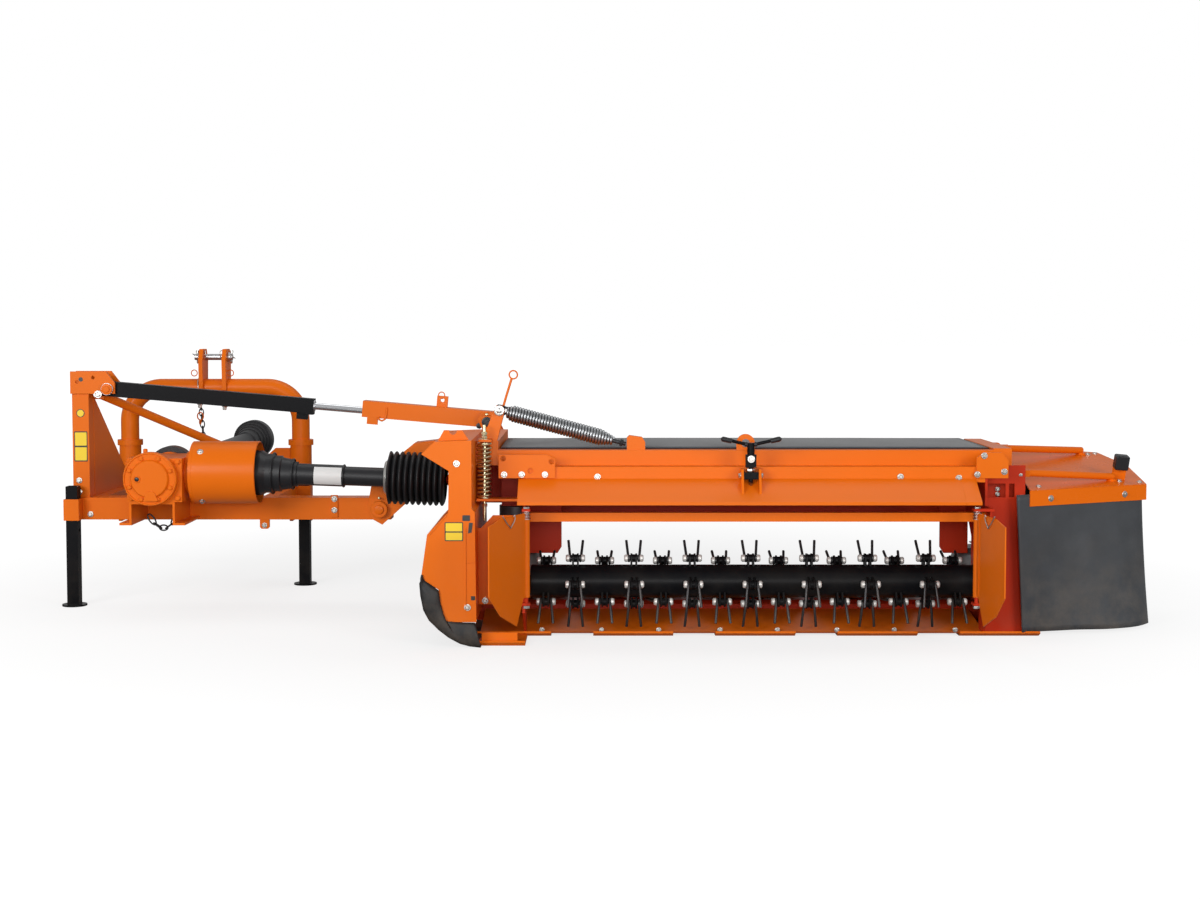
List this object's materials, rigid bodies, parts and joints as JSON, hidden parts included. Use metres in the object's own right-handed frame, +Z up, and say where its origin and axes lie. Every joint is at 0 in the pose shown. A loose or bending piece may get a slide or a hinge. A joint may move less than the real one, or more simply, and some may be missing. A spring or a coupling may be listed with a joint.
{
  "type": "disc mower conditioner",
  "caption": "Rear three-point mounted hay mower with a disc cutter bar, tine conditioner rotor, hinged outer guard, lift cylinder and drive shaft.",
  "frame": {"origin": "centre of the footprint of the parked machine, on the ground", "axes": "+X towards the free end of the cutter bar, +Y in the direction of travel, +Z up"},
  "size_m": [3.8786, 2.2592, 0.921],
  "materials": {
    "orange_paint": "bright orange gloss machine paint",
    "black_paint": "black semi-gloss machine paint",
    "red_paint": "orange-red paint in the shade of the hood",
    "black_plastic": "black moulded guard plastic",
    "rubber": "black moulded rubber",
    "bare_steel": "bare and zinc plated steel",
    "chrome": "hard chromed cylinder rod",
    "worn_steel": "black painted wear steel",
    "zinc": "yellow passivated zinc plating",
    "canvas": "dark grey coated woven guard canvas"
  },
  "bodies": {
    "hitch": {"mast_arch": "orange_paint", "arch_sockets": "orange_paint", "lower_brackets": "orange_paint", "lower_link_pins": "bare_steel", "top_link_ears": "orange_paint", "top_link_pin": "bare_steel", "side_arms": "orange_paint", "main_beam": "orange_paint", "beam_post": "orange_paint", "gusset_plates": "orange_paint", "diagonal_brace": "orange_paint", "stand_sleeves": "orange_paint", "gearbox_seat": "orange_paint", "gearbox": "orange_paint", "drive_guard": "orange_paint", "input_shaft": "black_plastic", "hinge_pins": "bare_steel"},
    "left_foot": {"stand_left": "black_paint"},
    "right_foot": {"stand_right": "black_paint"},
    "barrel": {"lift_barrel": "black_paint"},
    "ram": {"lift_rod": "chrome", "lift_channel": "orange_paint"},
    "drive_outer": {"drive_tube_outer": "black_plastic"},
    "drive_inner": {"drive_tube_inner": "black_plastic", "drive_bellows": "rubber"},
    "mower": {"swing_arm": "orange_paint", "headstock": "orange_paint", "head_gearbox": "black_paint", "cutter_bar": "red_paint", "skid_shoes": "worn_steel", "rear_plate": "orange_paint", "side_plates": "red_paint", "hood_frame": "orange_paint", "top_canvas": "canvas", "swath_board": "orange_paint", "inner_cover": "orange_paint", "inner_skirt": "rubber", "crank": "black_paint", "float_springs": "zinc"},
    "cutter_1": {"disc_1": "bare_steel"},
    "cutter_2": {"disc_2": "bare_steel"},
    "cutter_3": {"disc_3": "bare_steel"},
    "cutter_4": {"disc_4": "bare_steel"},
    "cutter_5": {"disc_5": "bare_steel"},
    "tine_rotor": {"rotor": "black_paint"},
    "guard": {"outer_guard": "orange_paint", "outer_curtain": "canvas"},
    "swath_left": {"deflector_left": "orange_paint"},
    "swath_right": {"deflector_right": "orange_paint"}
  },
  "joints": [
    {"name": "stand_left_slide", "type": "slide", "parent": "hitch", "child": "left_foot", "axis": [0, 0, 1], "range_m": [0, 0.3]},
    {"name": "stand_right_slide", "type": "slide", "parent": "hitch", "child": "right_foot", "axis": [0, 0, 1], "range_m": [0, 0.3]},
    {"name": "mower_lift", "type": "hinge", "parent": "hitch", "child": "mower", "pos_m": [-0.71482, -0.05819, 0.35], "axis": [0, -1, 0], "range_deg": [-8, 72]},
    {"name": "ram_tilt", "type": "hinge", "parent": "hitch", "child": "barrel", "pos_m": [-1.70082, -0.05819, 0.785], "axis": [0, -1, 0], "range_deg": [-1.2, 10.5]},
    {"name": "ram_stroke", "type": "slide", "parent": "barrel", "child": "ram", "axis": [0.9963, 0, -0.0855], "range_m": [-0.582, 0.066]},
    {"name": "drive_tilt", "type": "hinge", "parent": "hitch", "child": "drive_outer", "pos_m": [-1.17882, -0.21619, 0.493], "axis": [0, -1, 0], "range_deg": [-2.5, 21.7]},
    {"name": "drive_stroke", "type": "slide", "parent": "drive_outer", "child": "drive_inner", "axis": [0.9993, 0, -0.0365], "range_m": [-0.271, 0.031]},
    {"name": "rotor_spin", "type": "hinge", "parent": "mower", "child": "tine_rotor", "pos_m": [0.57718, -0.72619, 0.181], "axis": [1, 0, 0], "continuous": true},
    {"name": "guard_lift", "type": "hinge", "parent": "mower", "child": "guard", "pos_m": [1.46118, -0.53505, 0.56214], "axis": [0, -0.981, -0.1942], "range_deg": [0, 90]},
    {"name": "deflector_left_swing", "type": "hinge", "parent": "mower", "child": "swath_left", "pos_m": [-0.15082, -0.86619, 0.285], "axis": [0, 0, 1], "range_deg": [-20, 20]},
    {"name": "deflector_right_swing", "type": "hinge", "parent": "mower", "child": "swath_right", "pos_m": [1.28718, -0.86619, 0.285], "axis": [0, 0, 1], "range_deg": [-20, 20]},
    {"name": "disc_1_spin", "type": "hinge", "parent": "mower", "child": "cutter_1", "pos_m": [-0.20682, -0.38119, 0.11], "axis": [0, 0, 1], "continuous": true},
    {"name": "disc_2_spin", "type": "hinge", "parent": "mower", "child": "cutter_2", "pos_m": [0.19318, -0.38119, 0.11], "axis": [0, 0, 1], "continuous": true},
    {"name": "disc_3_spin", "type": "hinge", "parent": "mower", "child": "cutter_3", "pos_m": [0.59318, -0.38119, 0.11], "axis": [0, 0, 1], "continuous": true},
    {"name": "disc_4_spin", "type": "hinge", "parent": "mower", "child": "cutter_4", "pos_m": [0.99318, -0.38119, 0.11], "axis": [0, 0, 1], "continuous": true},
    {"name": "disc_5_spin", "type": "hinge", "parent": "mower", "child": "cutter_5", "pos_m": [1.39318, -0.38119, 0.11], "axis": [0, 0, 1], "continuous": true}
  ],
  "couplings": [
    {"joint": "ram_tilt", "follows": "mower_lift", "ratio": 0.145},
    {"joint": "ram_stroke", "follows": "mower_lift", "m_per_rad": -0.462},
    {"joint": "drive_tilt", "follows": "mower_lift", "ratio": 0.3},
    {"joint": "drive_stroke", "follows": "mower_lift", "m_per_rad": -0.2149},
    {"joint": "disc_2_spin", "follows": "disc_1_spin", "ratio": -1},
    {"joint": "disc_3_spin", "follows": "disc_1_spin", "ratio": 1},
    {"joint": "disc_4_spin", "follows": "disc_1_spin", "ratio": -1},
    {"joint": "disc_5_spin", "follows": "disc_1_spin", "ratio": 1}
  ]
}
